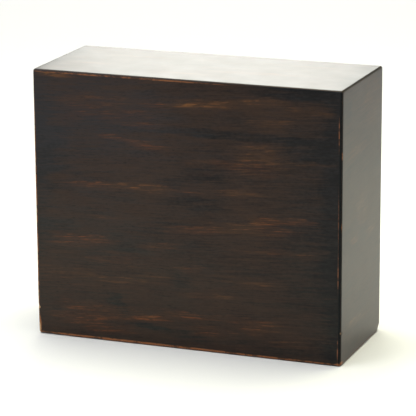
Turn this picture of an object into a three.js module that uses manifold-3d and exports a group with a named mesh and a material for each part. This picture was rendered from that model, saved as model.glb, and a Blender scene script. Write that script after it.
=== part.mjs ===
// Plain rectangular cremation urn box of dark-stained hardwood.
//
// Four wall boards and a top board meet in mitres along the box's edges, so no end grain shows on a face.
// The chamber inside is closed from below: a thin base board lies in a rebate along the walls' lower
// inner edge, flush with the underside, and four countersunk wood screws hold it.
//
// Millimetres, +Z up. The front faces -Y, and the origin is the centre of the underside.

import * as THREE from "three";
import { RoundedBoxGeometry } from "three/addons/geometries/RoundedBoxGeometry.js";
import { mergeVertices } from "three/addons/utils/BufferGeometryUtils.js";
import Module from "manifold-3d";

const wasm = await Module();
wasm.setup();

// Driving dimensions of the box
const boxWidth = 254;
const boxDepth = 102;
const boxHeight = 216;
const boardThickness = 12.5;
const easedRadius = 1.5; // rounding of every outer edge
const easedFacets = 3; // facets across a quarter round
const glueLine = 0.2; // gap across a mitre

// Base board and the rebate that it lies in
const rebateWidth = 8;
const baseThickness = 6;
const baseClearance = 0.3; // gap to the rebate's walls and shoulder
const baseEasing = 0.5;
const baseEasingFacets = 1;

// Countersunk wood screws that hold the base board
const screwLength = 19;
const screwHeadRadius = 2.4;
const screwShankRadius = 1.2;
const screwRim = 0.35; // straight rim of the head, below its cone
const screwTip = 4; // length of the pointed end
const screwSunk = 0.25; // how far the head lies above the underside
const screwHoleClearance = 0.2; // gap between a screw and the wood around it
const screwFromEnd = 34; // from an end of the box to the nearest screw
const screwSides = 24;
const driveSpan = 2.7; // cross recess in the head
const driveWidth = 0.7;
const driveDepth = 1;

const cutOverrun = 1; // how far a cutting shape passes a face, so that no two faces coincide

// Places worked out from the sizes above
const rebateInset = boardThickness - rebateWidth; // from an outer face to the rebate's wall
const baseLength = boxWidth - 2 * (rebateInset + baseClearance);
const baseBreadth = boxDepth - 2 * (rebateInset + baseClearance);
const shoulderHeight = baseThickness + baseClearance;
const screwX = boxWidth / 2 - screwFromEnd;
const screwInset = boardThickness - rebateWidth / 2; // from the front or back face, mid shoulder
const screwY = boxDepth / 2 - screwInset;

const stainedWood = new THREE.MeshStandardMaterial({ color: 0x37302c, roughness: 0.35, metalness: 0 });
const baseWood = new THREE.MeshStandardMaterial({ color: 0x2a2421, roughness: 0.6, metalness: 0 });
const platedSteel = new THREE.MeshStandardMaterial({ color: 0xa59a7c, roughness: 0.35, metalness: 1 });

// A closed geometry as a solid that can be joined and cut.
function solidOf(geometry) {
  const bare = geometry.clone();
  bare.deleteAttribute("normal");
  bare.deleteAttribute("uv");
  const merged = mergeVertices(bare, 1e-4);
  const vertProperties = new Float32Array(merged.getAttribute("position").array);
  const triVerts = new Uint32Array(merged.getIndex().array);
  return new wasm.Manifold(new wasm.Mesh({ numProp: 3, vertProperties, triVerts }));
}

// A solid's surface as a geometry for a mesh.
function geometryOf(solid) {
  const { vertProperties, triVerts } = solid.getMesh();
  const geometry = new THREE.BufferGeometry();
  geometry.setAttribute("position", new THREE.BufferAttribute(vertProperties, 3));
  geometry.setIndex(new THREE.BufferAttribute(triVerts, 1));
  geometry.computeVertexNormals();
  return geometry;
}

// A board blank in the XY plane, outer face at z = 0 and thickness towards -Z. Its edges slope in at
// 45 degrees, half a glue line short of the mitre plane; the lower edge stays square if squareBelow is set.
function mitredBlank(length, rise, squareBelow) {
  const blank = new THREE.BoxGeometry(length, rise, boardThickness + cutOverrun);
  blank.translate(0, 0, (cutOverrun - boardThickness) / 2);
  const corner = blank.getAttribute("position");
  const halfGlueLine = (glueLine / 2) * Math.SQRT2;
  for (let i = 0; i < corner.count; i++) {
    const [x, y, z] = [corner.getX(i), corner.getY(i), corner.getZ(i)];
    const inset = halfGlueLine - z;
    const squareEnd = squareBelow && y < 0;
    corner.setX(i, x - Math.sign(x) * inset);
    corner.setY(i, squareEnd ? y - cutOverrun : y - Math.sign(y) * inset);
  }
  return solidOf(blank);
}

// The board's outer form, with every edge of its outer face rounded.
function easedPlate(length, rise) {
  const plate = new RoundedBoxGeometry(length, rise, 2 * boardThickness, easedFacets, easedRadius);
  plate.translate(0, 0, -boardThickness);
  return solidOf(plate);
}

// The rebate along a wall's lower inner edge, in the wall's own frame.
function rebateCut(length, rise) {
  const cutHeight = shoulderHeight + cutOverrun;
  const cutDepth = rebateWidth + cutOverrun;
  const cut = new THREE.BoxGeometry(length, cutHeight, cutDepth);
  cut.translate(0, (shoulderHeight - cutOverrun - rise) / 2, -rebateInset - cutDepth / 2);
  return solidOf(cut);
}

// A hole up into a wall's shoulder for a screw's shank, in the wall's own frame.
function pilotHole(x, rise) {
  const radius = screwShankRadius + screwHoleClearance;
  const top = screwSunk + screwLength + screwHoleClearance;
  const hole = new THREE.CylinderGeometry(radius, radius, top, screwSides);
  hole.translate(x, (top - rise) / 2, -screwInset);
  return solidOf(hole);
}

// A wall board: mitred at both ends and along the top, rebated below.
function wallGeometry(length, screwPlaces) {
  let wall = easedPlate(length, boxHeight).intersect(mitredBlank(length, boxHeight, true));
  wall = wall.subtract(rebateCut(length, boxHeight));
  for (const x of screwPlaces) wall = wall.subtract(pilotHole(x, boxHeight));
  return geometryOf(wall);
}

// The top board: mitred along all four edges.
function topGeometry() {
  return geometryOf(easedPlate(boxWidth, boxDepth).intersect(mitredBlank(boxWidth, boxDepth, false)));
}

// A countersunk screw standing on its head along +Y, made larger all round by grow. Its head reaches down
// to headLow.
function screwSolid(grow, headLow) {
  const head = screwHeadRadius + grow;
  const shank = screwShankRadius + grow;
  const coneTop = screwRim + screwHeadRadius - screwShankRadius;
  const profile = [
    new THREE.Vector2(0, headLow),
    new THREE.Vector2(head, headLow),
    new THREE.Vector2(head, screwRim),
    new THREE.Vector2(shank, coneTop),
    new THREE.Vector2(shank, screwLength - screwTip),
    new THREE.Vector2(0, screwLength + grow),
  ];
  return solidOf(new THREE.LatheGeometry(profile, screwSides));
}

// The screw with a cross recess in its head.
function screwGeometry() {
  let screw = screwSolid(0, 0);
  const depth = driveDepth + cutOverrun;
  for (const [x, z] of [[driveSpan, driveWidth], [driveWidth, driveSpan]]) {
    const slot = new THREE.BoxGeometry(x, depth, z);
    slot.translate(0, driveDepth - depth / 2, 0);
    screw = screw.subtract(solidOf(slot));
  }
  return geometryOf(screw);
}

const screwPlaces = [
  { name: "base_screw_front_left", x: -screwX, y: -screwY },
  { name: "base_screw_front_right", x: screwX, y: -screwY },
  { name: "base_screw_back_left", x: -screwX, y: screwY },
  { name: "base_screw_back_right", x: screwX, y: screwY },
];

// The base board, with a countersunk hole for each screw.
function baseGeometry() {
  const plate = new RoundedBoxGeometry(baseLength, baseBreadth, baseThickness, baseEasingFacets, baseEasing);
  plate.translate(0, 0, baseThickness / 2);
  let base = solidOf(plate);
  const hole = screwSolid(screwHoleClearance, -screwSunk - cutOverrun);
  const upright = new THREE.Matrix4().makeRotationX(Math.PI / 2);
  for (const { x, y } of screwPlaces) {
    const place = upright.clone().setPosition(x, y, screwSunk);
    base = base.subtract(hole.transform(place.elements));
  }
  return geometryOf(base);
}

const urn = new THREE.Group();
urn.name = "cremation_urn_box";

// Walls: each stands on the underside and faces out, turned about the box's upright axis.
const longWall = wallGeometry(boxWidth, [-screwX, screwX]);
const shortWall = wallGeometry(boxDepth, []);
const walls = [
  { name: "front_panel", geometry: longWall, turn: 0, out: boxDepth / 2 },
  { name: "right_side_panel", geometry: shortWall, turn: Math.PI / 2, out: boxWidth / 2 },
  { name: "back_panel", geometry: longWall, turn: Math.PI, out: boxDepth / 2 },
  { name: "left_side_panel", geometry: shortWall, turn: -Math.PI / 2, out: boxWidth / 2 },
];
for (const { name, geometry, turn, out } of walls) {
  const facing = new THREE.Group();
  facing.rotation.z = turn;
  const wall = new THREE.Mesh(geometry, stainedWood);
  wall.name = name;
  wall.rotation.x = Math.PI / 2;
  wall.position.set(0, -out, boxHeight / 2);
  facing.add(wall);
  urn.add(facing);
}

const top = new THREE.Mesh(topGeometry(), stainedWood);
top.name = "top_panel";
top.position.z = boxHeight;
urn.add(top);

const base = new THREE.Mesh(baseGeometry(), baseWood);
base.name = "base_panel";
urn.add(base);

const screwShape = screwGeometry();
for (const { name, x, y } of screwPlaces) {
  const screw = new THREE.Mesh(screwShape, platedSteel);
  screw.name = name;
  screw.rotation.x = Math.PI / 2;
  screw.position.set(x, y, screwSunk);
  urn.add(screw);
}

export default urn;
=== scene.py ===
import math

import bmesh
import bpy
from mathutils import Matrix, Vector, noise


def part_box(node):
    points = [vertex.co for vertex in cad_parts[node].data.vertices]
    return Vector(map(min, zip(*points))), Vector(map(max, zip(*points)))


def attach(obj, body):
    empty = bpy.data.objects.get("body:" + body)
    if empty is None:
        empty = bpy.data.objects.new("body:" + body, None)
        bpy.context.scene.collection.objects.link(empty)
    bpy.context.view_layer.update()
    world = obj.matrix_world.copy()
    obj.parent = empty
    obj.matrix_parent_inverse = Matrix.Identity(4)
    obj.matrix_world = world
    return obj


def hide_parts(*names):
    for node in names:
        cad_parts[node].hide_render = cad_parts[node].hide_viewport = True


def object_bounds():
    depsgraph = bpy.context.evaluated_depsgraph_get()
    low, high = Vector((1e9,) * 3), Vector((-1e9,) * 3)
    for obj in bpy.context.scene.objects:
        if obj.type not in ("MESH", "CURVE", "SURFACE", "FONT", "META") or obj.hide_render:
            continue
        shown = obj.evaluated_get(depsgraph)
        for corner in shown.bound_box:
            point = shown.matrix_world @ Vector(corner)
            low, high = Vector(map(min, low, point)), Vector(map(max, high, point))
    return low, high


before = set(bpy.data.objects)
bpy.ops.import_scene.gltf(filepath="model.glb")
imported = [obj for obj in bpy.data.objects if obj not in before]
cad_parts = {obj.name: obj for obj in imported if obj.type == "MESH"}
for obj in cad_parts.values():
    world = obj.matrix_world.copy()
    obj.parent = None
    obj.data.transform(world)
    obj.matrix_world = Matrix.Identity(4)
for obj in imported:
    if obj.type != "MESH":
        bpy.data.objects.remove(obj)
cadLow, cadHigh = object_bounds()
print("frame loaded:", len(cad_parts), "nodes")

# Sizes read off the CAD, in metres
mm = 0.001
boxWide, boxDeep, boxTall = cadHigh - cadLow
halfWide, halfDeep = boxWide / 2, boxDeep / 2
topLow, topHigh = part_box("top_panel")
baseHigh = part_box("base_panel")[1]
boardThick = topHigh.z - topLow.z
axisX, axisY, axisZ = 0, 1, 2


# Camera, at the photo's angle
photoView = {
    "azimuth": 20.91,  # degrees round from the front towards the right side
    "elevation": 14.78,
    "roll": -0.30,
    "distance": 1.9165,
    "lens": 215.5,  # mm
    "sensor": 36,  # mm
    "clip": (0.05, 40),
    "aimX": 18.94 * mm,  # the point of the front face in the middle of the frame
    "aimZ": 116.64 * mm,
}


def makeCamera():
    turn, lift = math.radians(photoView["azimuth"]), math.radians(photoView["elevation"])
    back = Vector((math.sin(turn) * math.cos(lift), -math.cos(turn) * math.cos(lift), math.sin(lift)))
    right = Vector((math.cos(turn), math.sin(turn), 0))
    right = Matrix.Rotation(math.radians(photoView["roll"]), 3, back) @ right
    up = back.cross(right)
    data = bpy.data.cameras.new("photoCamera")
    data.lens = photoView["lens"]
    data.sensor_width = photoView["sensor"]
    data.clip_start, data.clip_end = photoView["clip"]
    camera = bpy.data.objects.new("photoCamera", data)
    aim = Vector((photoView["aimX"], -halfDeep, photoView["aimZ"]))
    place = Matrix((right, up, back)).transposed().to_4x4()
    place.translation = aim + back * photoView["distance"]
    camera.matrix_world = place
    bpy.context.scene.collection.objects.link(camera)
    bpy.context.scene.camera = camera


makeCamera()
print("camera set")


# Small node helpers: a socket is linked, anything else is typed into the field
def feed(tree, socket, value):
    if isinstance(value, bpy.types.NodeSocket):
        tree.links.new(value, socket)
    elif value is not None:
        socket.default_value = value


def calc(tree, operation, first, second=None, third=None):
    node = tree.nodes.new("ShaderNodeMath")
    node.operation = operation
    for socket, value in zip(node.inputs, (first, second, third)):
        feed(tree, socket, value)
    return node.outputs[0]


def ramp(tree, value, low, high, toLow=0.0, toHigh=1.0):
    node = tree.nodes.new("ShaderNodeMapRange")
    node.interpolation_type = "SMOOTHSTEP"
    for socket, given in zip(node.inputs, (value, low, high, toLow, toHigh)):
        feed(tree, socket, given)
    return node.outputs[0]


def tint(tree, factor, under, over):
    node = tree.nodes.new("ShaderNodeMix")
    node.data_type = "RGBA"
    feed(tree, node.inputs[0], factor)
    feed(tree, node.inputs[6], under)  # 6, 7 and output 2 are the colour sockets
    feed(tree, node.inputs[7], over)
    return node.outputs[2]


def mapped(tree, vector, place=(0, 0, 0), size=(1, 1, 1), turn=0.0, kind="POINT"):
    node = tree.nodes.new("ShaderNodeMapping")
    node.vector_type = kind
    feed(tree, node.inputs["Vector"], vector)
    node.inputs["Location"].default_value = place
    node.inputs["Rotation"].default_value = (0, 0, math.radians(turn))
    node.inputs["Scale"].default_value = size
    return node.outputs[0]


def flat(tree, first, second):
    node = tree.nodes.new("ShaderNodeCombineXYZ")
    feed(tree, node.inputs[0], first)
    feed(tree, node.inputs[1], second)
    return node.outputs[0]


def grainNoise(tree, vector, kind, detail=2.0, rough=0.5, seed=0.0):
    along, across = grainSizes[kind]
    stretch = (1 / (along * mm), 1 / (across * mm), 1 / (across * mm))
    start = (seed, seed * 1.7, seed * 0.3)  # every layer lies elsewhere in the noise
    node = tree.nodes.new("ShaderNodeTexNoise")
    feed(tree, node.inputs["Vector"], mapped(tree, vector, start, stretch))
    node.inputs["Scale"].default_value = 1.0
    node.inputs["Detail"].default_value = detail
    node.inputs["Roughness"].default_value = rough
    return node.outputs["Fac"]


def thinLine(tree, value, width):
    # fine lines where a noise passes its middle
    away = calc(tree, "ABSOLUTE", calc(tree, "SUBTRACT", value, 0.5))
    return ramp(tree, away, 0.0, width, 1.0, 0.0)


def addBump(tree, shader, height, strength, distance):
    bump = tree.nodes.new("ShaderNodeBump")
    bump.inputs["Strength"].default_value = strength
    bump.inputs["Distance"].default_value = distance
    tree.links.new(height, bump.inputs["Height"])
    tree.links.new(bump.outputs[0], shader.inputs["Normal"])


def marks(tree, face, spots, under=0.0):
    # soft ovals on a face, added up
    total = under
    for left, down, halfLong, halfHigh, tilt, strength in spots:
        centre, size = (left * mm, down * mm, 0), (halfLong * mm, halfHigh * mm, 1)
        spot = mapped(tree, face, centre, size, tilt, "TEXTURE")
        oval = tree.nodes.new("ShaderNodeTexGradient")
        oval.gradient_type = "SPHERICAL"
        tree.links.new(spot, oval.inputs[0])
        soft = ramp(tree, oval.outputs["Fac"], 0.0, markEdge)
        total = calc(tree, "MULTIPLY_ADD", soft, strength, total)
    return total


def startMaterial(name):
    material = bpy.data.materials.new(name)
    material.use_nodes = True
    tree = material.node_tree
    shader = tree.nodes["Principled BSDF"]
    place = tree.nodes.new("ShaderNodeTexCoord").outputs["Object"]
    return material, tree, shader, place


# Stained, lacquered and rubbed wood of the five outer boards
stain = {
    "black": (0.0030, 0.0036, 0.0042, 1),
    "brown": (0.046, 0.0228, 0.0125, 1),
    "rubbed": (0.19, 0.058, 0.014, 1),
    "rubbedPale": (0.175, 0.072, 0.021, 1),
    "worn": (0.26, 0.100, 0.040, 1),
    "bare": (0.50, 0.31, 0.155, 1),
    "blackening": 0.5,  # how much brown a dark place hides
    "poreShade": 0.5,
    "seamShade": 0.22,
}
lacquer = {
    "ior": 1.33,
    "rough": 0.28,
    "mistRough": 0.08,  # added where the stain is misty, inked or worn
    "inkRough": 0.30,
    "wornRough": 0.15,
    "reliefDeep": 0.05 * mm,
}
rubbing = {
    "all": 0.06,  # rubbed everywhere by this much
    "even": 0.11,  # shares of the even rub, the fine threads and the long strands
    "thread": 0.45,
    "strand": 0.65,
}

# Size of one blotch along and across the grain, in mm
grainSizes = {
    "hair": (26, 1.0),
    "fibre": (36, 2.0),
    "strand": (70, 1.8),
    "seam": (15, 2.0),
    "streak": (32, 5.0),
    "cloud": (60, 24),
    "mist": (30, 9),
    "blotch": (17, 15),
    "lines": (5, 1.0),
    "speck": (3.4, 2.4),
    "breaks": (10, 2.6),
    "pits": (9, 5),
    "pore": (5, 0.6),
    "drift": (170, 60),
    "wobble": (16, 7),
    "ring": (60, 3.0),
    "thread": (20, 0.7),
    "plating": (1.5, 1.5),
}
grainLean = 0.055  # the grain climbs to the right by this slope
grainDrift = 10 * mm  # and wanders this far
grainWobble = 0.03  # share of small waves in that
rubFray = 34 * mm  # how ragged the ends of rubbed and dark places are
rubStray = 5 * mm  # and their long edges
mottle = 0.6  # unevenness of the stain across a few millimetres
markEdge = 0.6  # share of a mark that is its soft edge

greyVeil = (0.0205, 0.0202, 0.0225, 1)  # where the stain lies thin and looks greyer; where the haze marks lay it on, it is partly a painted reflection (sheen)
# olive tone of the stain; on the right side's upper part it is also a painted tint of the side's yellowish
# reflection
mossVeil = (0.0200, 0.0208, 0.0160, 1)
veilFall = (40 * mm, 190 * mm)  # where the upper veil turns into the lower one
inkFade = (0.5 * mm, 1.1 * mm)  # from the black arris to the face

# Marks are given as: mm from the left end, mm from the upper edge, half length, half height, tilt, strength
frontFinish = {
    "shift": 0,  # mm along the log, so that no two boards show the same grain
    "brown": 0.44,  # share of brown that shows through the stain
    "veil": (greyVeil, mossVeil),  # near the upper and the lower edge
    "mist": 0.35,
    "mistKind": "mist",
    "lines": 0.75,
    "relief": 0.25,
    "edge": 1.0,  # how black the arrises are
    "lacquerTint": (0.72, 0.72, 0.72, 1),
    "rubbed": [
        (20, 3.8, 22, 2.6, 0, 0.9), (143, 18.5, 36, 5, -3, 0.75), (124, 20, 18, 2.6, -2, 0.6),
        (103, 21.5, 18, 3.4, 2, 0.4), (192, 13, 24, 4, -2, 0.55), (198, 29, 28, 4.2, -3, 0.55),
        (89, 38, 30, 3, 1, 0.35), (68, 49.5, 20, 3, 6, 0.4), (95, 53.5, 28, 5, 6, 0.4),
        (184, 59, 32, 17, -2, 0.5), (134, 66, 16, 3.4, -2, 0.3), (160, 63, 18, 3.6, 0, 0.4),
        (229, 58, 22, 3.2, 0, 0.45), (60, 89, 38, 4.4, 0, 0.6), (98, 88, 24, 5, 2, 0.7),
        (130, 88, 18, 3, 0, 0.3), (173, 85, 20, 4.6, -4, 0.55), (148, 116, 48, 6, -8, 0.6),
        (190, 106, 18, 5, -4, 0.95), (212, 104, 26, 4, 0, 0.45), (190, 114, 38, 5.6, -4, 0.4),
        (38, 135, 38, 7, -3, 0.65), (61, 115.5, 22, 3.4, 0, 0.35), (105, 134, 20, 4, -5, 0.4),
        (132, 149.5, 16, 4, -5, 0.6), (70, 165, 28, 3.8, -2, 0.4), (92, 161, 24, 4.2, -8, 0.45),
        (143, 171, 26, 3.6, -2, 0.5), (182, 156, 28, 6.6, -2, 0.35), (98, 193, 20, 4, 0, 1.0),
        (120, 189, 28, 5, -2, 0.5), (168, 188, 50, 4.6, 0, 0.45), (35, 198, 28, 8, 0, 0.75),
        (36, 187, 26, 4.6, 0, 0.45), (192, 193, 24, 3.6, 0, 0.35), (205, 130, 38, 4.6, -3, 0.3),
        (222, 19, 26, 5.6, 0, 0.35), (58, 26, 60, 18, 2, 0.25), (60, 206, 36, 6, 0, 0.6),
        (147, 199, 28, 6, 0, 0.5), (184, 196, 16, 4, 0, 0.5), (214, 203, 34, 5, 0, 0.35),
        (60, 192, 40, 9, 0, 0.3), (30, 165, 36, 12, 0, 0.28), (75, 148, 40, 8, -2, 0.3),
    ],
    # painted reflection: these broad marks lighten the left half the way a brighter reflection in the
    # lacquer would, and are partly a thinner stain
    "hazeAndSheen": [(20, 55, 150, 120, 0, 0.55), (60, 170, 140, 80, 0, 0.45), (40, 25, 110, 50, 0, 0.5)],
    "dark": [
        # the two wide marks at 262 mm darken the right end: partly a darker stain at the edge, partly
        # painted shade where the lacquer reflects less light
        (0, 62, 38, 32, 0, 0.6), (0, 60, 22, 130, 0, 0.5), (262, 108, 30, 220, 0, 0.9),
        (262, 100, 76, 190, 0, 0.4), (236, 50, 50, 14, 0, 0.6), (222, 4, 60, 8, 0, 0.8),
        (40, 25, 100, 50, 0, 0.2), (110, 200, 190, 44, 0, -0.22), (170, 41, 120, 5, 0.5, 0.7),
        (70, 184, 17, 6, 45, 0.8), (96, 200, 26, 3, 3, 0.9), (122, 160, 13, 9, 10, 0.45),
        (20, 123, 32, 7, 0, 0.5), (130, 203, 26, 6, 0, 0.6), (205, 206, 66, 7, 0, 0.4),
        (140, 74, 28, 9, 0, 0.4), (134, 98, 40, 8, 0, 0.4),
    ],
    "ink": [(254, 108, 3.0, 260, 0, 2.0)],
    "worn": [
        (85, 214.4, 130, 1.3, 0, 1.4), (200, 214.6, 90, 1.1, 0, 1.1), (0.5, 140, 1.3, 170, 0, 1.4),
        (0.9, 209, 2.2, 11, 0, 1.6), (75, 1.7, 110, 0.9, 0, 0.75), (251.4, 34, 0.6, 17, 0, 0.6),
        (251.4, 100, 0.5, 30, 0, 0.35), (251.4, 140, 0.6, 22, 0, 0.6), (251.4, 206, 0.6, 18, 0, 0.6),
        (252, 214, 4, 1.6, 0, 0.6),
    ],
    "bare": [(0.8, 211, 1.6, 6, 0, 1.6), (0.9, 194, 1.5, 1.4, 0, 3.0), (253.4, 189.3, 0.6, 1.2, 0, 0.5)],
}


def stainedWood(name, along, across, long, finish):
    # along and across hold an axis, its way and its start: the grain, and the fall from the upper edge
    material, tree, shader, place = startMaterial(name)
    axes = tree.nodes.new("ShaderNodeSeparateXYZ")
    tree.links.new(place, axes.inputs[0])
    fromLeft = calc(tree, "MULTIPLY_ADD", axes.outputs[along[0]], along[1], along[2])
    fromTop = calc(tree, "MULTIPLY_ADD", axes.outputs[across[0]], across[1], across[2])
    face = flat(tree, fromLeft, fromTop)
    onLog = calc(tree, "ADD", fromLeft, finish["shift"] * mm)
    log = flat(tree, onLog, fromTop)

    drift = calc(tree, "SUBTRACT", grainNoise(tree, log, "drift", 1.0, 0.5, 4.0), 0.5)
    wobble = calc(tree, "SUBTRACT", grainNoise(tree, log, "wobble", 1.0, 0.5, 7.0), 0.5)
    drift = calc(tree, "MULTIPLY_ADD", wobble, grainWobble, drift)
    lean = calc(tree, "MULTIPLY_ADD", fromLeft, grainLean, fromTop)
    grain = flat(tree, onLog, calc(tree, "MULTIPLY_ADD", drift, grainDrift, lean))
    fibre = grainNoise(tree, grain, "fibre", 2.0, 0.6, 1.0)
    hair = grainNoise(tree, grain, "hair", 2.0, 0.6, 2.0)
    streak = grainNoise(tree, grain, "streak", 3.0, 0.6, 3.0)
    cloud = grainNoise(tree, grain, "cloud", 2.0, 0.5, 5.0)
    mist = grainNoise(tree, grain, finish["mistKind"], 2.5, 0.55, 10.0)
    lines = grainNoise(tree, grain, "lines", 1.0, 0.5, 12.0)
    breaks = grainNoise(tree, grain, "breaks", 2.0, 0.5, 13.0)
    strand = thinLine(tree, grainNoise(tree, grain, "strand", 1.0, 0.5, 15.0), 0.05)
    seam = thinLine(tree, grainNoise(tree, grain, "seam", 1.0, 0.5, 16.0), 0.04)
    pits = grainNoise(tree, log, "pits", 3.0, 0.7, 11.0)
    speck = grainNoise(tree, log, "speck", 2.0, 0.6, 17.0)
    pore = grainNoise(tree, grain, "pore", 1.0, 0.5, 6.0)

    # rubbed and dark places end raggedly along the grain
    ragged = calc(tree, "MULTIPLY_ADD", calc(tree, "SUBTRACT", streak, 0.5), rubFray, fromLeft)
    strayed = calc(tree, "MULTIPLY_ADD", calc(tree, "SUBTRACT", breaks, 0.5), rubStray, fromTop)
    frayed = flat(tree, ragged, strayed)

    # brown shows through the black stain in threads, streaks and clouds, each with its share
    layers = (
        (ramp(tree, hair, 0.36, 0.64), 0.18), (fibre, 0.40), (streak, 0.66), (cloud, 0.72), (speck, 0.30)
    )
    shown = finish["brown"] - 0.5 * sum(share for layer, share in layers)
    for layer, share in layers:
        shown = calc(tree, "MULTIPLY_ADD", layer, share, shown)
    dark = marks(tree, frayed, finish["dark"])
    shown = calc(tree, "MULTIPLY_ADD", dark, -stain["blackening"], shown)
    shown = calc(tree, "MAXIMUM", shown, 0.0)
    # greyer veil over the black stain: the random mist, lines and specks are thin stain; the listed haze
    # marks are partly thin stain and partly painted sheen
    hazeAndSheen = calc(tree, "MULTIPLY", ramp(tree, mist, 0.3, 0.7), finish["mist"])
    hazeAndSheen = calc(tree, "MULTIPLY_ADD", calc(tree, "SUBTRACT", lines, 0.5), finish["lines"], hazeAndSheen)
    hazeAndSheen = calc(tree, "MULTIPLY_ADD", calc(tree, "SUBTRACT", speck, 0.5), mottle, hazeAndSheen)
    hazeAndSheen = calc(tree, "MAXIMUM", marks(tree, frayed, finish["hazeAndSheen"], hazeAndSheen), 0.0)
    veil = tint(tree, ramp(tree, fromTop, *veilFall), *finish["veil"])
    colour = tint(tree, calc(tree, "MINIMUM", hazeAndSheen, 1.0), stain["black"], veil)
    colour = tint(tree, shown, colour, stain["brown"])

    # rubbed places are bundles of fine threads
    threads = calc(tree, "MULTIPLY_ADD", hair, 0.6, calc(tree, "MULTIPLY", fibre, 0.4))
    sharp = ramp(tree, threads, 0.45, 0.62)
    broken = calc(tree, "MULTIPLY", sharp, ramp(tree, breaks, 0.40, 0.58, 0.2, 1.0))
    rub = marks(tree, frayed, finish["rubbed"], rubbing["all"])
    strand = calc(tree, "MULTIPLY", strand, broken)
    threaded = calc(tree, "MULTIPLY_ADD", strand, rubbing["strand"], rubbing["even"])
    threaded = calc(tree, "MULTIPLY_ADD", broken, rubbing["thread"], threaded)
    rubbed = calc(tree, "MULTIPLY", rub, threaded)
    rubColour = tint(tree, ramp(tree, cloud, 0.4, 0.6), stain["rubbed"], stain["rubbedPale"])
    colour = tint(tree, calc(tree, "MINIMUM", rubbed, 1.0), colour, rubColour)
    colour = tint(tree, ramp(tree, pore, 0.62, 0.75, 0.0, stain["poreShade"]), colour, stain["black"])
    colour = tint(tree, calc(tree, "MULTIPLY", seam, stain["seamShade"]), colour, stain["black"])

    # black stain gathers on the arris, and is worn through again in places
    toEdge = calc(tree, "MINIMUM", fromLeft, calc(tree, "SUBTRACT", long, fromLeft))
    toEdge = calc(tree, "MINIMUM", toEdge, fromTop)
    ink = marks(tree, face, finish["ink"], ramp(tree, toEdge, *inkFade, finish["edge"], 0.0))
    ink = calc(tree, "MINIMUM", ink, 1.0)
    colour = tint(tree, ink, colour, stain["black"])
    bite = ramp(tree, pits, 0.38, 0.58, 0.15, 1.1)
    worn = calc(tree, "MULTIPLY", marks(tree, face, finish["worn"]), bite)
    worn = calc(tree, "MINIMUM", worn, 1.0)
    colour = tint(tree, worn, colour, stain["worn"])
    bare = calc(tree, "MINIMUM", marks(tree, face, finish["bare"]), 1.0)
    colour = tint(tree, bare, colour, stain["bare"])
    tree.links.new(colour, shader.inputs["Base Color"])

    gloss = calc(tree, "MULTIPLY_ADD", mist, lacquer["mistRough"], lacquer["rough"])
    gloss = calc(tree, "MULTIPLY_ADD", ink, lacquer["inkRough"], gloss)
    gloss = calc(tree, "MULTIPLY_ADD", worn, lacquer["wornRough"], gloss)
    tree.links.new(gloss, shader.inputs["Roughness"])
    shader.inputs["IOR"].default_value = lacquer["ior"]
    shader.inputs["Specular Tint"].default_value = finish["lacquerTint"]
    addBump(tree, shader, threads, finish["relief"], lacquer["reliefDeep"])
    return material


# Unfinished wood of the chamber, and the plain base board
bareGrain = {"roughSpread": 0.2, "relief": 0.4, "reliefDeep": 0.1 * mm}


def bareWood(name, finish):
    material, tree, shader, place = startMaterial(name)
    grain = mapped(tree, place, turn=finish["turn"])
    ring = grainNoise(tree, grain, "ring", 3.0, 0.6, 8.0)
    thread = grainNoise(tree, grain, "thread", 2.0, 0.6, 9.0)
    mixed = tint(tree, ramp(tree, ring, 0.35, 0.7), finish["deep"], finish["colour"])
    mixed = tint(tree, ramp(tree, thread, 0.55, 0.75, 0.0, 0.5), mixed, finish["deep"])
    tree.links.new(mixed, shader.inputs["Base Color"])
    rough = calc(tree, "MULTIPLY_ADD", thread, bareGrain["roughSpread"], finish["rough"])
    tree.links.new(rough, shader.inputs["Roughness"])
    addBump(tree, shader, thread, bareGrain["relief"], bareGrain["reliefDeep"])
    return material


# The outside of the whole box, made once: every board is carved out of a copy of it
block = {
    "round": 1.5 * mm,
    "roundSteps": 8,
    "gridStep": 4.0 * mm,
    "gridInset": 0.5 * mm,  # from the rounding to the first grid line
    "arris": 2.2 * mm,  # wear moves what lies this near to a face
    "grooveDeep": 0.15 * mm,  # eased joint line along each mitre
    "grooveHalf": 0.03 * mm,
    "grooveReach": 1 * mm,  # it stays this near to the edge
    "grooveFrom": 3 * mm,  # and this far above the underside
    "sanding": 0.16 * mm,  # unevenness of the arrises
    "sandingReach": 4 * mm,
    "cornerWear": 0.5 * mm,
    "cornerReach": 6 * mm,
    "nickStep": 0.6 * mm,  # between the extra grid lines at a nick
    "knockLean": 0.7,  # sideways share of a knock
    # side in X and Y, height, reach, depth
    "nicks": [(-1, -1, 23 * mm, 1.6 * mm, 0.7 * mm), (1, -1, 26.5 * mm, 2.2 * mm, 0.7 * mm)],
    # lower corners rounded off by setting the box down: side in X and Y, reach, depth
    "knocks": [(1, 1, 7 * mm, 1.6 * mm), (-1, -1, 40 * mm, 0.5 * mm)],
}


cutSnap, mergeSnap = 1e-7, 1e-6  # metres


def gridLines(low, high, extra=()):
    inset = block["round"] + block["gridInset"]
    first, last = low + inset, high - inset
    steps = round((last - first) / block["gridStep"])
    return [first + (last - first) * i / steps for i in range(steps + 1)] + list(extra)


def cut(bm, point, normal, clear=True):
    everything = bm.verts[:] + bm.edges[:] + bm.faces[:]
    made = bmesh.ops.bisect_plane(
        bm, geom=everything, dist=cutSnap, plane_co=point, plane_no=normal, clear_outer=clear
    )
    return [e for e in made["geom_cut"] if isinstance(e, bmesh.types.BMEdge)]


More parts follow.
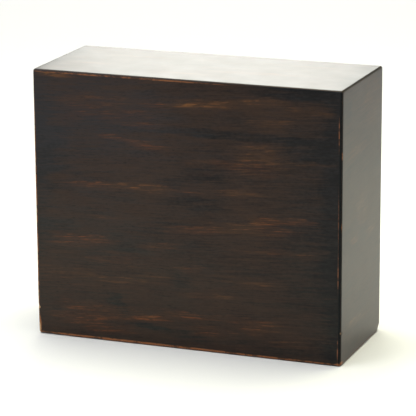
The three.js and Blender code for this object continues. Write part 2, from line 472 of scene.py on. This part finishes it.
def wearOf(p):
    # how far in a point of the outside lies after sanding and knocks
    gaps = sorted((halfWide - abs(p.x), halfDeep - abs(p.y), min(p.z, boxTall - p.z)))
    nearEdge = max(0.0, 1 - gaps[1] / block["sandingReach"])
    nearCorner = max(0.0, 1 - gaps[2] / block["cornerReach"]) * nearEdge
    rough = 0.5 + 0.5 * noise.noise(p * 60) + 0.35 * noise.noise(p * 170)
    deep = block["sanding"] * max(0.0, rough) * nearEdge ** 2 + block["cornerWear"] * nearCorner ** 2
    for sideX, sideY, high, reach, depth in block["nicks"]:
        away = (p - Vector((sideX * halfWide, sideY * halfDeep, high))).length
        deep += depth * max(0.0, 1 - away / reach)
    onMitre = abs(gaps[0] - gaps[1]) < block["grooveHalf"] and gaps[0] < block["grooveReach"]
    if onMitre and p.z > block["grooveFrom"]:
        deep += block["grooveDeep"]
    return deep


def inwards(p):
    # the way in from the faces that a point lies near to
    pull = Vector()
    for axis, gap in ((axisX, halfWide - abs(p.x)), (axisY, halfDeep - abs(p.y))):
        if gap < block["arris"]:
            pull[axis] = -math.copysign(1, p[axis])
    if boxTall - p.z < block["arris"]:
        pull.z = -1
    elif p.z < block["arris"]:
        pull.z = 1
    return pull.normalized() if pull.length else pull


def knockOf(p):
    shift = Vector()
    for sideX, sideY, reach, depth in block["knocks"]:
        away = (p - Vector((sideX * halfWide, sideY * halfDeep, 0))).length / reach
        push = Vector((-block["knockLean"] * sideX, -block["knockLean"] * sideY, 1)).normalized()
        shift += push * depth * max(0.0, 1 - away * away) ** 2
    return shift


def makeBlock():
    bm = bmesh.new()
    bmesh.ops.create_cube(bm, size=1)
    bmesh.ops.scale(bm, vec=(boxWide, boxDeep, boxTall), verts=bm.verts)
    bmesh.ops.translate(bm, vec=(0, 0, boxTall / 2), verts=bm.verts)
    bmesh.ops.bevel(
        bm, geom=bm.edges[:], offset=block["round"], offset_type="OFFSET", affect="EDGES",
        segments=block["roundSteps"], profile=0.5, material=-1, clamp_overlap=True,
    )
    nickHeights = []
    for _, _, high, _, _ in block["nicks"]:
        nickHeights += [high + step * block["nickStep"] for step in range(-3, 4)]
    for x in gridLines(-halfWide, halfWide):
        cut(bm, (x, 0, 0), (1, 0, 0), clear=False)
    for y in gridLines(-halfDeep, halfDeep):
        cut(bm, (0, y, 0), (0, 1, 0), clear=False)
    for z in gridLines(0, boxTall, nickHeights):
        cut(bm, (0, 0, z), (0, 0, 1), clear=False)
    for vert in bm.verts:
        vert.co += inwards(vert.co) * wearOf(vert.co) + knockOf(vert.co)
    return bm


def carve(bm, planes):
    # takes off what lies beyond each plane and closes the cut with the second material
    for point, outward in planes:
        edges = cut(bm, point, outward)
        filled = bmesh.ops.edgeloop_fill(bm, edges=edges)
        for face in filled["faces"]:
            face.material_index = 1


woodBlock = makeBlock()
print("block shaped:", len(woodBlock.faces), "faces")

mitreGap = 0.05 * mm
mitreSlope = math.sqrt(0.5)
baseGap = 0.3 * mm  # round the base board
shoulder = baseHigh.z + baseGap  # the rebate that the base board lies in
lipThick = halfDeep - baseHigh.y - baseGap
sharpAngle = math.radians(38)  # edges steeper than this stay crisp


def wallPlanes(out, long):
    # seen with the wall's outer face towards -Y
    ends = [Vector((-mitreSlope, mitreSlope, 0)), Vector((mitreSlope, mitreSlope, 0))]
    corners = [Vector((-long / 2, -out, 0)), Vector((long / 2, -out, 0))]
    planes = [(corner - end * mitreGap, end) for corner, end in zip(corners, ends)]
    upper = Vector((0, mitreSlope, mitreSlope))
    planes.append((Vector((0, -out, boxTall)) - upper * mitreGap, upper))
    return planes


def turned(planes, turn):
    spin = Matrix.Rotation(turn, 3, "Z")
    return [(spin @ Vector(point), spin @ Vector(normal)) for point, normal in planes]


def finishBoard(name, bm, materials):
    bmesh.ops.recalc_face_normals(bm, faces=bm.faces)
    for face in bm.faces:
        face.smooth = True
    mesh = bpy.data.meshes.new(name)
    bm.to_mesh(mesh)
    bm.free()
    for material in materials:
        mesh.materials.append(material)
    mesh.set_sharp_from_angle(angle=sharpAngle)
    piece = bpy.data.objects.new(name, mesh)
    bpy.context.scene.collection.objects.link(piece)
    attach(piece, "root")
    return piece


def makeWall(name, node, turn, out, long, materials):
    # the part above the shoulder and the thinner lip below it are carved apart, then joined
    mitres = wallPlanes(out, long)
    inner = [(Vector((0, boardThick - out, 0)), Vector((0, 1, 0)))]
    lip = [(Vector((0, lipThick - out, 0)), Vector((0, 1, 0)))]
    level = Vector((0, 0, shoulder))
    above = woodBlock.copy()
    carve(above, turned(mitres + inner + [(level, Vector((0, 0, -1)))], turn))
    (score,) = turned(lip, turn)
    cut(above, score[0], score[1], clear=False)
    below = woodBlock.copy()
    carve(below, turned(mitres + lip + [(level, Vector((0, 0, 1)))], turn))
    for bm in (above, below):
        onLevel = [f for f in bm.faces if all(abs(v.co.z - shoulder) < mergeSnap for v in f.verts)]
        covered = [f for f in onLevel if (f.calc_center_median() - score[0]).dot(score[1]) < 0]
        bmesh.ops.delete(bm, geom=covered, context="FACES_ONLY")
    spare = bpy.data.meshes.new("lip")
    below.to_mesh(spare)
    below.free()
    above.from_mesh(spare)
    bpy.data.meshes.remove(spare)
    bmesh.ops.remove_doubles(above, verts=above.verts, dist=mergeSnap)
    piece = finishBoard(name, above, materials)
    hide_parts(node)
    return piece


pilotHole = {"radius": 1.4 * mm, "sides": 24, "above": 0.2 * mm}  # for the base screws
screws = [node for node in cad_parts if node.startswith("base_screw")]


def drillPilots(board):
    # all four drills at once; a board meets only its own two
    bm = bmesh.new()
    radius = pilotHole["radius"]
    for node in screws:
        low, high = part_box(node)
        deep = high.z + pilotHole["above"]
        drill = bmesh.ops.create_cone(
            bm, cap_ends=True, segments=pilotHole["sides"], radius1=radius, radius2=radius, depth=deep
        )
        x, y = (low.x + high.x) / 2, (low.y + high.y) / 2
        bmesh.ops.translate(bm, vec=(x, y, deep / 2), verts=drill["verts"])
    for face in bm.faces:
        face.material_index = 1
    mesh = bpy.data.meshes.new("drill")
    bm.to_mesh(mesh)
    bm.free()
    drills = bpy.data.objects.new("drill", mesh)
    bpy.context.scene.collection.objects.link(drills)
    bore = board.modifiers.new("pilotHoles", "BOOLEAN")
    bore.operation = "DIFFERENCE"
    bore.solver = "EXACT"
    bore.object = drills
    depsgraph = bpy.context.evaluated_depsgraph_get()
    bored = bpy.data.meshes.new_from_object(board.evaluated_get(depsgraph))
    board.modifiers.clear()
    board.data = bored
    bored.set_sharp_from_angle(angle=sharpAngle)
    bpy.data.objects.remove(drills)


def makeTop(name, node, materials):
    planes = []
    for sideX, sideY in ((-1, 0), (1, 0), (0, -1), (0, 1)):
        edge = Vector((sideX * halfWide, sideY * halfDeep, boxTall))
        outward = Vector((sideX * mitreSlope, sideY * mitreSlope, -mitreSlope))
        planes.append((edge - outward * mitreGap, outward))
    planes.append((Vector((0, 0, boxTall - boardThick)), Vector((0, 0, -1))))
    bm = woodBlock.copy()
    carve(bm, planes)
    piece = finishBoard(name, bm, materials)
    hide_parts(node)
    return piece


# The other boards: the right one follows the photo, the rest are plainer
rightFinish = {
    "shift": 254,
    "brown": 0.42,
    # olive above and greyer below: partly the stain, partly painted tints of the side's reflection
    "veil": (mossVeil, greyVeil),
    "mist": 0.6,
    "mistKind": "blotch",
    "lines": 0.4,
    "relief": 0.05,
    "edge": 0.25,
    "lacquerTint": (0.9, 0.9, 0.9, 1),
    "rubbed": [
        (52, 104, 18, 15, 0, 0.55), (31, 123.5, 16, 3.4, 0, 0.9), (76, 126, 16, 4, 0, 0.7),
        (38, 189.5, 30, 3.6, 3, 0.7), (40, 53, 32, 5, 0, 0.4), (76, 22, 26, 26, 0, 0.35),
    ],
    # painted reflection: this haze mark lightens the lower side the way the reflection of the bright floor
    # does, and is partly a thin stain
    "hazeAndSheen": [(50, 160, 70, 50, 0, 0.4)],
    "dark": [(12, 18, 16, 12, 0, 0.8), (14, 66, 14, 12, 0, 0.5), (10, 118, 14, 14, 0, 0.4)],
    "ink": [(0, 108, 1.7, 260, 0, 1.6)],
    "worn": [(51, 214.6, 70, 1.2, 0, 0.35), (0.9, 50, 0.6, 4, 0, 0.8), (0.9, 106, 0.6, 5, 0, 0.8),
             (2.5, 213.5, 4, 2, 0, 1.0)],
    "bare": [(0.8, 189.4, 0.8, 1.2, 0, 0.55)],
}
leftFinish = {
    "shift": 610,
    "brown": 0.42,
    "veil": (mossVeil, greyVeil),
    "mist": 0.5,
    "mistKind": "blotch",
    "lines": 0.5,
    "relief": 0.15,
    "edge": 0.8,
    "lacquerTint": (0.8, 0.8, 0.8, 1),
    "rubbed": [(60, 45, 34, 5, 2, 0.6), (40, 118, 30, 6, -3, 0.7), (66, 172, 30, 5, 0, 0.6)],
    "hazeAndSheen": [(50, 90, 70, 60, 0, 0.3)],
    "dark": [(0, 120, 14, 110, 0, 0.5), (102, 90, 12, 110, 0, 0.5)],
    "ink": [],
    "worn": [(51, 214.5, 80, 1.2, 0, 0.8), (101.6, 140, 1.3, 165, 0, 1.7)],
    "bare": [(101.6, 193, 1.0, 1.3, 0, 3.0), (101.4, 211, 1.6, 6, 0, 1.6)],
}
backFinish = {
    "shift": 356,
    "brown": 0.40,
    "veil": (greyVeil, greyVeil),
    "mist": 0.4,
    "mistKind": "mist",
    "lines": 0.75,
    "relief": 0.25,
    "edge": 1.0,
    "lacquerTint": (0.72, 0.72, 0.72, 1),
    "rubbed": [
        (70, 40, 60, 9, -3, 0.36), (176, 30, 50, 8, -4, 0.32), (160, 90, 64, 9, -5, 0.4),
        (50, 104, 46, 9, -2, 0.32), (80, 148, 60, 9, -4, 0.36), (196, 152, 46, 11, -3, 0.32),
        (120, 190, 80, 8, -1, 0.4),
    ],
    "hazeAndSheen": [(100, 90, 140, 90, 0, 0.4)],
    "dark": [(0, 100, 26, 130, 0, 0.8), (254, 110, 26, 130, 0, 0.8), (120, 62, 80, 6, 0, 0.6)],
    "ink": [],
    "worn": [(127, 214.5, 170, 1.2, 0, 0.9), (90, 1.7, 100, 0.9, 0, 0.7), (0.9, 120, 0.9, 70, 0, 0.6)],
    "bare": [],
}
topFinish = {
    "shift": 900,
    "brown": 0.40,
    "veil": (mossVeil, mossVeil),
    "mist": 0.5,
    "mistKind": "blotch",
    "lines": 0.5,
    "relief": 0.05,
    "edge": 0.3,
    "lacquerTint": (0.9, 0.9, 0.9, 1),
    "rubbed": [
        (60, 30, 44, 4, -3, 0.4), (170, 62, 54, 5, -3, 0.45), (110, 80, 40, 4, -2, 0.35),
        (206, 24, 34, 4, -3, 0.35), (34, 66, 30, 4, -2, 0.3),
    ],
    "hazeAndSheen": [(120, 50, 150, 60, 0, 0.3)],
    "dark": [(0, 50, 20, 70, 0, 0.7), (254, 50, 20, 70, 0, 0.7), (130, 44, 60, 5, -1, 0.5)],
    "ink": [],
    "worn": [],
    "bare": [],
}
chamberFinish = {
    "colour": (0.30, 0.17, 0.09, 1),
    "deep": (0.135, 0.077, 0.041, 1),
    "rough": 0.6,
    "turn": 0,  # degrees that the grain is turned from the box's length
}
baseFinish = {
    "colour": (0.030, 0.020, 0.0145, 1),
    "deep": (0.010, 0.0075, 0.006, 1),
    "rough": 0.45,
    "turn": 0,
}

fallFromTop = (axisZ, -1.0, boxTall)
fallFromBack = (axisY, -1.0, halfDeep)
frontWood = stainedWood("frontWood", (axisX, 1.0, halfWide), fallFromTop, boxWide, frontFinish)
rightWood = stainedWood("rightWood", (axisY, 1.0, halfDeep), fallFromTop, boxDeep, rightFinish)
backWood = stainedWood("backWood", (axisX, -1.0, halfWide), fallFromTop, boxWide, backFinish)
leftWood = stainedWood("leftWood", (axisY, -1.0, halfDeep), fallFromTop, boxDeep, leftFinish)
topWood = stainedWood("topWood", (axisX, 1.0, halfWide), fallFromBack, boxWide, topFinish)
chamberLong = bareWood("chamberLong", chamberFinish)
chamberEnd = bareWood("chamberEnd", dict(chamberFinish, turn=90))
print("wood finishes made")

quarter = math.pi / 2
frontBoard = makeWall("frontBoard", "front_panel", 0, halfDeep, boxWide, [frontWood, chamberLong])
makeWall("rightBoard", "right_side_panel", quarter, halfWide, boxDeep, [rightWood, chamberEnd])
backBoard = makeWall("backBoard", "back_panel", 2 * quarter, halfDeep, boxWide, [backWood, chamberLong])
makeWall("leftBoard", "left_side_panel", -quarter, halfWide, boxDeep, [leftWood, chamberEnd])
makeTop("topBoard", "top_panel", [topWood, chamberLong])
woodBlock.free()
for board in (frontBoard, backBoard):
    drillPilots(board)
print("boards carved")

# Base board and its screws keep their CAD shape
screwFinish = {
    "bright": (0.62, 0.58, 0.47, 1),  # yellowish zinc
    "dull": (0.36, 0.33, 0.27, 1),
    "rough": 0.26,
    "roughSpread": 0.25,
    "relief": 0.2,
    "reliefDeep": 0.03 * mm,
}


def zincPlated(name):
    material, tree, shader, place = startMaterial(name)
    patch = grainNoise(tree, place, "plating", 3.0, 0.6, 14.0)
    colour = tint(tree, ramp(tree, patch, 0.4, 0.65), screwFinish["bright"], screwFinish["dull"])
    tree.links.new(colour, shader.inputs["Base Color"])
    rough = calc(tree, "MULTIPLY_ADD", patch, screwFinish["roughSpread"], screwFinish["rough"])
    tree.links.new(rough, shader.inputs["Roughness"])
    shader.inputs["Metallic"].default_value = 1.0
    addBump(tree, shader, patch, screwFinish["relief"], screwFinish["reliefDeep"])
    return material


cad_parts["base_panel"].material_slots[0].material = bareWood("baseWood", baseFinish)
zinc = zincPlated("zincPlated")
for node in screws:
    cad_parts[node].material_slots[0].material = zinc
print("base board and", len(screws), "screws finished")


# Floor and studio light
studio = {
    "floorHalf": 6.0,
    "floorColour": (0.86, 0.86, 0.86, 1),
    "floorRough": 0.9,
    "world": 0.16,
    # pool, rightPool and sweep are warm: lit by them, the floor gives the right side its yellowish cast
    "lights": [
        # name, place, aim, size, watts, colour
        ("ceiling", (-0.2, 0.2, 2.6), (-0.2, 0.2, 0), (3.4, 3.4), 76, (1, 1, 1)),
        ("pool", (0.05, 0.20, 1.0), (0.05, 0.20, 0), (0.8, 0.6), 7.2, (1, 1, 0.70)),
        ("behind", (-0.89, 2.4, 0.95), (0, 0, 0.21), (0.68, 0.9), 10.5, (1, 1, 0.93)),
        ("rightPool", (0.38, 0.55, 0.75), (0.2, 0.1, 0), (0.4, 0.4), 0.8, (1, 1, 0.3)),
        ("sweep", (1.0, 2.6, 0.7), (0, 0, 0.1), (1.2, 1.4), 3.0, (1, 1, 0.88)),
        ("leftPool", (-0.5, -0.65, 0.8), (-0.12, -0.3, 0), (0.5, 0.5), 2.0, (0.86, 0.92, 1)),
        ("frontFill", (-0.6, -1.9, 1.6), (0, 0, 0), (1.8, 1.4), 7, (0.93, 0.96, 1)),
    ],
}


def makeStage():
    bm = bmesh.new()
    bmesh.ops.create_grid(bm, x_segments=1, y_segments=1, size=studio["floorHalf"])
    mesh = bpy.data.meshes.new("floor")
    bm.to_mesh(mesh)
    bm.free()
    material, _, shader, _ = startMaterial("paleFloor")
    shader.inputs["Base Color"].default_value = studio["floorColour"]
    shader.inputs["Roughness"].default_value = studio["floorRough"]
    shader.inputs["Specular IOR Level"].default_value = 0.0
    mesh.materials.append(material)
    floor = bpy.data.objects.new("floor", mesh)
    bpy.context.scene.collection.objects.link(floor)
    world = bpy.data.worlds.new("studioWorld")
    world.use_nodes = True
    background = world.node_tree.nodes["Background"]
    background.inputs["Color"].default_value = (1, 1, 1, 1)
    background.inputs["Strength"].default_value = studio["world"]
    bpy.context.scene.world = world
    for name, place, aim, size, watts, colour in studio["lights"]:
        data = bpy.data.lights.new(name, "AREA")
        data.shape = "RECTANGLE"
        data.size, data.size_y = size
        data.energy = watts
        data.color = colour
        lamp = bpy.data.objects.new(name, data)
        lamp.location = place
        lamp.rotation_euler = (Vector(aim) - Vector(place)).to_track_quat("-Z", "Y").to_euler()
        lamp.visible_camera = False
        bpy.context.scene.collection.objects.link(lamp)
    bpy.context.scene.view_settings.view_transform = "Standard"


makeStage()
print("stage lit")
